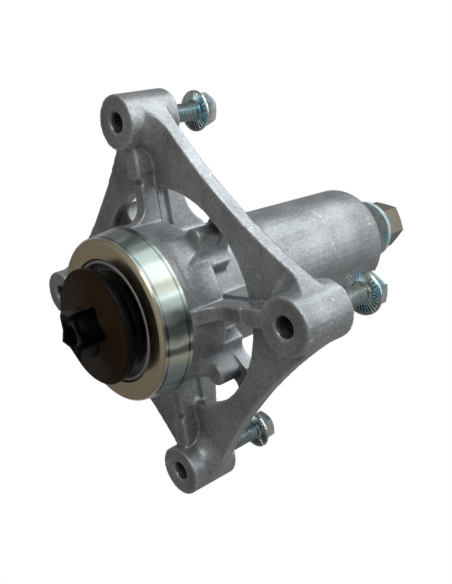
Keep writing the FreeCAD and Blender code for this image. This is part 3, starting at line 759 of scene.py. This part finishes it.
def bolt_blank(name):
    """Head, flange and core of a bolt, with the flange's underside at height 0."""
    point = [(0.0, -BOLT_LENGTH), (BOLT_CORE - BOLT_POINT, -BOLT_LENGTH),
             (BOLT_CORE, BOLT_POINT - BOLT_LENGTH)]
    neck = [(BOLT_CORE, NECK_FOOT), (NECK_RADIUS, NECK_LOW), (NECK_RADIUS, NECK_TOP)]
    flange = [FLANGE_HOLLOW, (FLANGE_RADIUS - 0.25, 0.02), (FLANGE_RADIUS, FLANGE_EDGE),
              (FLANGE_RADIUS, FLANGE_RIM - FLANGE_EDGE),
              (FLANGE_RADIUS - FLANGE_EDGE, FLANGE_RIM)]
    flats = [(HEX + 1.06, FLANGE_RIM + 1.0), (HEX + 1.0, FLANGE_RIM + 1.7),
             (HEX + 1.0, HEAD_HEIGHT - 0.5), (HEX + 1.0, HEAD_HEIGHT - 0.01)]
    top = [(HEAD_HALF_FLATS - 0.2, HEAD_HEIGHT), (DISH_RIM, HEAD_HEIGHT),
           (DISH_FLOOR, HEAD_HEIGHT - DISH_DEPTH), (0.0, HEAD_HEIGHT - DISH_DEPTH)]
    return spun(name, point + neck + flange + flats + top, on_hexagon)


def middle_at(low, high, height):
    """The middle of a box as seen along the shaft, at a height."""
    return Vector(((low.x + high.x) / 2, (low.y + high.y) / 2, height))


# %% The deck bolts
for number, heading in enumerate(HEAD_TURNS, 1):
    node = "deck_bolt_" + str(number)
    low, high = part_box(node)
    bolt = bolt_blank("threaded_" + node)
    turns = round((BOLT_LENGTH - BARE_LENGTH) / BOLT_PITCH)
    add_threads(bolt, bolt_zinc, thread_radius=BOLT_CORE, pitch=BOLT_PITCH, turns=turns,
                ridge=BOLT_RIDGE, thread_start=THREAD_START - BOLT_LENGTH, **TEETH)
    close_up(bolt)
    spot = Matrix.Translation(middle_at(low, high, high.z - HEAD_HEIGHT * MM))
    bolt.data.transform(spot @ Matrix.Rotation(math.radians(heading), 4, "Z"))
    finish_piece(bolt, bolt_zinc, "zinc_plate", "housing", node)

# %% [markdown]
# ## The black shaft
# The shaft stays as the frame has it, apart from its two threads: the last stretch at the pulley
# end and the tapped hole in the star. The plain end is cut off a copy of the mesh, a threaded one
# is added, and a ridge is wound inside the hole.

# %% The shaft without its plain end
THREAD_FROM = 124.6
shaft = apply_all(copy_of("spindle_shaft", "forged_shaft"))
work = bmesh.new()
work.from_mesh(shaft.data)
beyond = [face for face in work.faces if face.calc_center_median().z > THREAD_FROM * MM]
bmesh.ops.delete(work, geom=beyond, context="FACES")
work.to_mesh(shaft.data)
work.free()
print("cut", len(beyond), "faces off the plain end")

# %% The threaded end and the hole's thread
SHAFT_PITCH = 1.411
SHAFT_THREAD_RADIUS = 7.12
SHAFT_RIDGE = 0.6
SHAFT_CORE = SHAFT_THREAD_RADIUS - SHAFT_RIDGE
SHAFT_SHOULDER = 8.4
SHAFT_END = 144.5
SHAFT_TURNS = 12
SHAFT_THREAD_START = THREAD_FROM + 1.2
HOLE_RADIUS = 4.2
HOLE_RIDGE = 0.45
HOLE_TURNS = 12
HOLE_START = 1.4

end = spun("shaft_end", [
    (SHAFT_SHOULDER, THREAD_FROM - 0.2), (SHAFT_THREAD_RADIUS, THREAD_FROM - 0.15),
    (SHAFT_CORE, THREAD_FROM + 0.9), (SHAFT_CORE, SHAFT_END - 1.0),
    (SHAFT_CORE - 0.9, SHAFT_END), (0.0, SHAFT_END),
])
add_threads(end, black.material, thread_radius=SHAFT_CORE, pitch=SHAFT_PITCH,
            turns=SHAFT_TURNS, ridge=SHAFT_RIDGE, thread_start=SHAFT_THREAD_START)
close_up(end)
star_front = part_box("spindle_shaft")[0].z / MM
tapped = thread_alone("tapped_hole", black.material, thread_radius=HOLE_RADIUS,
                      pitch=SHAFT_PITCH, turns=HOLE_TURNS, ridge=HOLE_RIDGE,
                      thread_start=star_front + HOLE_START)
print("star front at", round(star_front, 1), "mm; hole thread has",
      count_triangles(tapped), "triangles")


# %% The shaft as one piece again
def join_into(piece, *others):
    """Add the meshes of other pieces to a piece and drop them."""
    work = bmesh.new()
    for item in (piece, *others):
        work.from_mesh(item.data)
    work.to_mesh(piece.data)
    work.free()
    for item in others:
        bpy.data.objects.remove(item)


SHAFT_SHARP = math.radians(35)
join_into(shaft, end, tapped)
shaft.data.set_sharp_from_angle(angle=SHAFT_SHARP)
finish_piece(shaft, black.material, "black_oxide", "shaft", "spindle_shaft")

# %% [markdown]
# ## Threads in the bosses
# The bosses are tapped. Where a bolt doesn't fill the hole its thread shows as fine rings, painted
# near black as painted shade inside the hole. The same tree winds them without a core, from the far
# end of the boss to the bolt's point, so that no ridge runs into the bolt's own.

# %% Threads in the bosses
BOSS_LENGTH = 24.0
BOSS_HOLE_RADIUS = 4.02
BOSS_RIDGE = 0.5
BOSS_THREAD_START = 1.3 - BOSS_LENGTH
BOLT_POINT_ROOM = 0.6
# Near-black colours of the tapped threads: painted shade inside the holes
HOLE_SHADE_DARK = (0.03, 0.03, 0.031)
HOLE_SHADE_LIGHT = (0.09, 0.09, 0.09)

tapped_dark = Finish("tapped_dark", Metallic=0.6)
hole_shade_grain = tapped_dark.noise(1.0)
tapped_dark.colour(tapped_dark.blend(hole_shade_grain, HOLE_SHADE_DARK, HOLE_SHADE_LIGHT))
tapped_dark.roughness(0.35 + 0.1 * hole_shade_grain)
holes = []
for number in range(1, 5):
    low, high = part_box("deck_bolt_" + str(number))
    room = low.z / MM - BOSS_THREAD_START - BOLT_POINT_ROOM
    ridge = thread_alone("hole", tapped_dark.material, thread_radius=BOSS_HOLE_RADIUS,
                         pitch=BOLT_PITCH, turns=max(1, int(room / BOLT_PITCH)),
                         ridge=BOSS_RIDGE, thread_start=BOSS_THREAD_START)
    ridge.data.transform(Matrix.Translation(middle_at(low, high, 0)))
    holes.append(ridge)
tapping = holes[0]
join_into(tapping, *holes[1:])
tapping.name = "boss_threads"
finish_piece(tapping, tapped_dark.material, "cast_aluminium", "housing")

# %% [markdown]
# ## The studio
# The object hangs over a pale floor, well below the camera. The camera sees floor and backdrop as
# white, because both glow for the rays that come straight from it. Mirror rays see little of that
# glow, so the light on the object stays as the lamps make it.

# %% Floor and backdrop
FLOOR_HEIGHT = -0.42
FLOOR_REACH = 4
FLOOR_COLOUR = (0.50, 0.46, 0.42)
FLOOR_GLOW = 0.95
FLECK_SIZE = 30.0
WORLD_LIGHT = 0.18
MIRRORED_BACKDROP = 0.12
WHITE = (1.0, 1.0, 1.0, 1.0)


def share_of_rays(tree, mirrored):
    """1 where the camera looks, and the given share for mirror rays."""
    rays = tree.node("LightPath")
    straight = rays["Is Camera Ray"] + rays["Is Transmission Ray"]
    return tree.sum("MINIMUM", straight + rays["Is Glossy Ray"] * mirrored, 1.0)


world = bpy.data.worlds.new("studio")
scene.world = world
world.use_nodes = True
sky = Tree(world.node_tree, "ShaderNode")
background = world.node_tree.nodes["Background"]
background.inputs["Color"].default_value = WHITE
seen = share_of_rays(sky, MIRRORED_BACKDROP)
sky.feed(background.inputs["Strength"], WORLD_LIGHT + (1 - WORLD_LIGHT) * seen)

floor_mesh = bpy.data.meshes.new("floor")
corners = [(-1, -1), (1, -1), (1, 1), (-1, 1)]
floor_mesh.from_pydata(
    [(x * FLOOR_REACH, y * FLOOR_REACH, FLOOR_HEIGHT) for x, y in corners], [], [(0, 1, 2, 3)])
floor = add_object("floor", floor_mesh)
carpet = Finish("pale_floor", Specular_IOR_Level=0.0, Roughness=1.0)
flecks = [1.02 * part for part in FLOOR_COLOUR]
carpet.colour(carpet.blend(carpet.noise(FLECK_SIZE), FLOOR_COLOUR, flecks))
carpet.shader.inputs["Emission Color"].default_value = WHITE
carpet.feed(carpet.shader.inputs["Emission Strength"], FLOOR_GLOW * share_of_rays(carpet, 0.0))
floor.data.materials.append(carpet.material)
print("floor and backdrop")

# %% [markdown]
# ### The lamps
# The light is that of a room: a broad window high on the right as the object stands in the
# photograph, a small lamp above it, a softer one from the right and a weak one beside the camera.
# Each lamp's direction is given as the camera sees it: to the right, up and towards the camera.

# %% Lamps
OBJECT_MIDDLE = Vector((0.0, 0.0, 0.03))
LAMP_COLOUR = (0.94, 0.98, 1.0)
LAMPS = (  # name, direction, distance, size and power in watts
    ("lamp_window", (0.50, 0.72, 0.32), 0.95, 1.2, 4.7),
    ("lamp_high", (0.50, 0.86, 0.0), 0.8, 0.3, 0.7),
    ("lamp_right", (0.90, 0.28, 0.30), 0.8, 0.6, 1.0),
    ("lamp_front", (-0.05, 0.45, 0.88), 0.8, 0.35, 1.6),
)

for name, (right, up, towards), distance, size, power in LAMPS:
    direction = right * CAMERA_RIGHT + up * CAMERA_UP - towards * CAMERA_AHEAD
    light = bpy.data.lights.new(name, "AREA")
    light.size = size
    light.energy = power
    light.color = LAMP_COLOUR
    lamp = add_object(name, light)
    lamp.location = OBJECT_MIDDLE + direction.normalized() * distance
    lamp.rotation_euler = (-direction).to_track_quat("-Z", "Y").to_euler()
print(len(LAMPS), "lamps")

# %% The end
bpy.context.view_layer.update()
